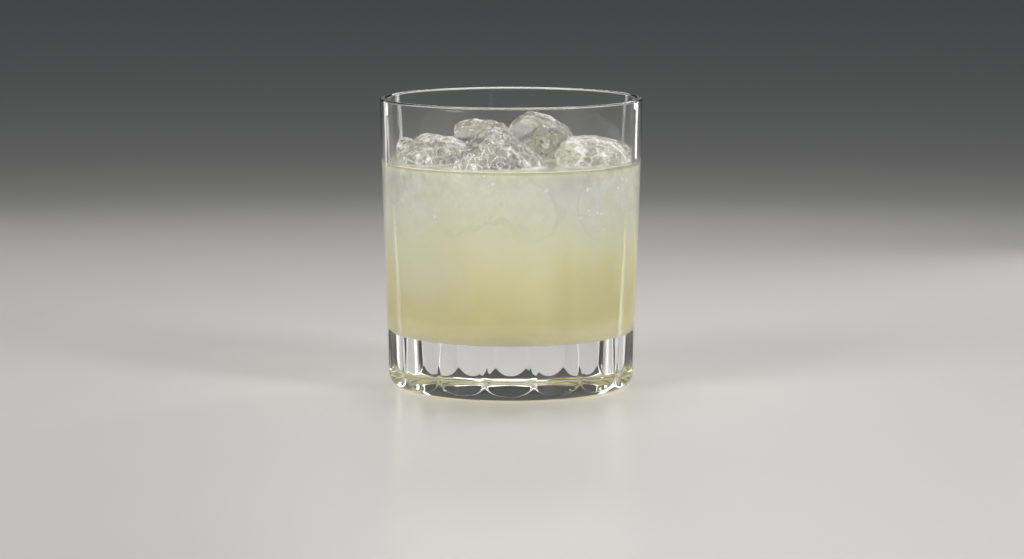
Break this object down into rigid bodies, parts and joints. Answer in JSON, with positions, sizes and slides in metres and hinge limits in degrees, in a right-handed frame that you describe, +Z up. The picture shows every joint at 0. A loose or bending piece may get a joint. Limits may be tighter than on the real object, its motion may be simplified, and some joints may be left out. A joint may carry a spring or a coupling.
{
  "type": "margarita cocktail",
  "caption": "Cloudy lime-yellow cocktail on ice in a straight rocks tumbler with a thick base and shallow flutes round the wall.",
  "frame": {"origin": "centre of the glass's foot, on the surface that it stands on", "axes": "+Z up along the glass's axis; the side that faces -Y is the front, +X is to its right"},
  "size_m": [0.086, 0.086, 0.095],
  "materials": {
    "glass": "clear, fire polished",
    "drink": "cloudy pale lime-yellow liquid, wet",
    "ice": "wet ice with frosty cores"
  },
  "bodies": {
    "root": {"glass": "glass", "drink": "drink", "ice_far_left": "ice", "ice_left": "ice", "ice_back_left": "ice", "ice_back": "ice", "ice_front": "ice", "ice_mid_right": "ice", "ice_right": "ice", "ice_far_right": "ice"}
  },
  "joints": []
}
